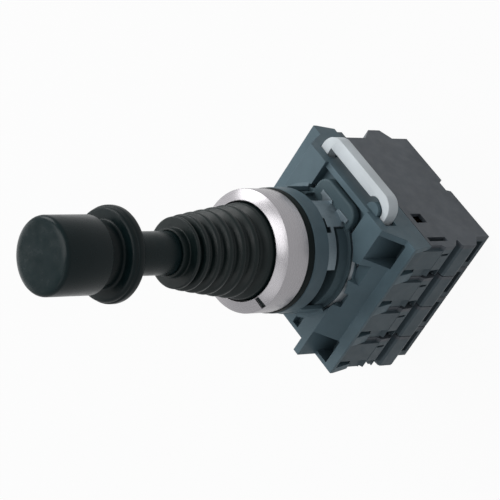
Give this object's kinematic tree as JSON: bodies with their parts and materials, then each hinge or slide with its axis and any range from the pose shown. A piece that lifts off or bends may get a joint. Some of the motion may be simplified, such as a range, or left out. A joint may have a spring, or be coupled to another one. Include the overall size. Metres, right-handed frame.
{
  "type": "panel joystick switch",
  "caption": "Panel joystick switch with a lift ring under its round knob, a ribbed rubber bellows, a metal bezel, a mounting holder with a white locking handle, and a row of contact blocks.",
  "frame": {"origin": "on the stick's axis, in the plane of the panel's front face", "axes": "+Z along the stick towards the knob, +X along the row of contact blocks towards the locking handle, +Y across the row"},
  "size_m": [0.0468, 0.0452, 0.1218],
  "materials": {
    "holder_plastic": "satin moulded",
    "block_plastic": "matt moulded",
    "black_plastic": "satin",
    "knob_plastic": "satin",
    "rubber": "matt",
    "bezel_metal": "satin plated",
    "white_plastic": "satin",
    "clamp_plastic": "satin",
    "clip_metal": "satin",
    "bright_steel": "ground",
    "spring_steel": "drawn",
    "screw_steel": "zinc plated",
    "contact_brass": "bright"
  },
  "bodies": {
    "housing": {"holder": "holder_plastic", "front_body": "black_plastic", "bezel": "bezel_metal", "panel_gasket": "rubber", "bellows": "rubber", "return_spring": "spring_steel", "pusher_guide": "white_plastic", "clamp_ring": "clamp_plastic", "clamp_clip": "clip_metal", "transfer_guide": "white_plastic", "terminal_screws": "screw_steel", "terminal_clamps": "screw_steel", "block_1_housing": "block_plastic", "block_1_cover": "block_plastic", "block_1_contacts": "contact_brass", "block_1_spring": "spring_steel", "block_2_housing": "block_plastic", "block_2_cover": "block_plastic", "block_2_contacts": "contact_brass", "block_2_spring": "spring_steel", "block_3_housing": "block_plastic", "block_3_cover": "block_plastic", "block_3_contacts": "contact_brass", "block_3_spring": "spring_steel", "block_4_housing": "block_plastic", "block_4_cover": "block_plastic", "block_4_contacts": "contact_brass", "block_4_spring": "spring_steel"},
    "gimbal": {"gimbal_ring": "bright_steel", "gimbal_outer_pins": "bright_steel"},
    "stick": {"stick_rod": "bright_steel", "stem_sleeve": "black_plastic", "knob": "knob_plastic", "lift_ring_spring": "spring_steel", "pivot_hub": "bright_steel", "gimbal_inner_pins": "bright_steel", "swash_plate": "bright_steel"},
    "lift_ring": {"lift_ring": "knob_plastic"},
    "lock_ring": {"lock_ring": "white_plastic"},
    "pusher_minus_y": {"pusher_minus_y": "white_plastic", "block_1_plunger": "white_plastic", "block_1_bridge": "contact_brass"},
    "pusher_minus_x": {"pusher_minus_x": "white_plastic", "block_2_plunger": "white_plastic", "block_2_bridge": "contact_brass"},
    "pusher_plus_x": {"pusher_plus_x": "white_plastic", "block_3_plunger": "white_plastic", "block_3_bridge": "contact_brass"},
    "pusher_plus_y": {"pusher_plus_y": "white_plastic", "block_4_plunger": "white_plastic", "block_4_bridge": "contact_brass"}
  },
  "joints": [
    {"name": "tilt_x", "type": "hinge", "parent": "housing", "child": "gimbal", "pos_m": [0, 0, 0.004], "axis": [1, 0, 0], "range_deg": [-12, 12], "stiffness_Nm_per_rad": 1.2, "deforming": ["bellows", "return_spring"]},
    {"name": "tilt_y", "type": "hinge", "parent": "gimbal", "child": "stick", "pos_m": [0, 0, 0.004], "axis": [0, 1, 0], "range_deg": [-12, 12], "stiffness_Nm_per_rad": 1.2, "deforming": ["bellows", "return_spring"]},
    {"name": "ring_lift", "type": "slide", "parent": "stick", "child": "lift_ring", "axis": [0, 0, 1], "range_m": [0, 0.003], "stiffness_N_per_m": 500, "springref_m": -0.003, "deforming": ["lift_ring_spring"]},
    {"name": "push_plus_x", "type": "slide", "parent": "housing", "child": "pusher_plus_x", "axis": [0, 0, 1], "range_m": [-0.00115, 0.00115], "deforming": ["block_3_spring"]},
    {"name": "push_minus_x", "type": "slide", "parent": "housing", "child": "pusher_minus_x", "axis": [0, 0, 1], "range_m": [-0.00115, 0.00115], "deforming": ["block_2_spring"]},
    {"name": "push_plus_y", "type": "slide", "parent": "housing", "child": "pusher_plus_y", "axis": [0, 0, 1], "range_m": [-0.00115, 0.00115], "deforming": ["block_4_spring"]},
    {"name": "push_minus_y", "type": "slide", "parent": "housing", "child": "pusher_minus_y", "axis": [0, 0, 1], "range_m": [-0.00115, 0.00115], "deforming": ["block_1_spring"]},
    {"name": "lock_swing", "type": "hinge", "parent": "housing", "child": "lock_ring", "pos_m": [0, 0, -0.0165], "axis": [0, 0, 1], "range_deg": [-3, 0]}
  ],
  "couplings": [
    {"joint": "push_plus_x", "follows": "tilt_y", "m_per_rad": -0.0052},
    {"joint": "push_minus_x", "follows": "tilt_y", "m_per_rad": 0.0052},
    {"joint": "push_plus_y", "follows": "tilt_x", "m_per_rad": 0.0052},
    {"joint": "push_minus_y", "follows": "tilt_x", "m_per_rad": -0.0052}
  ]
}
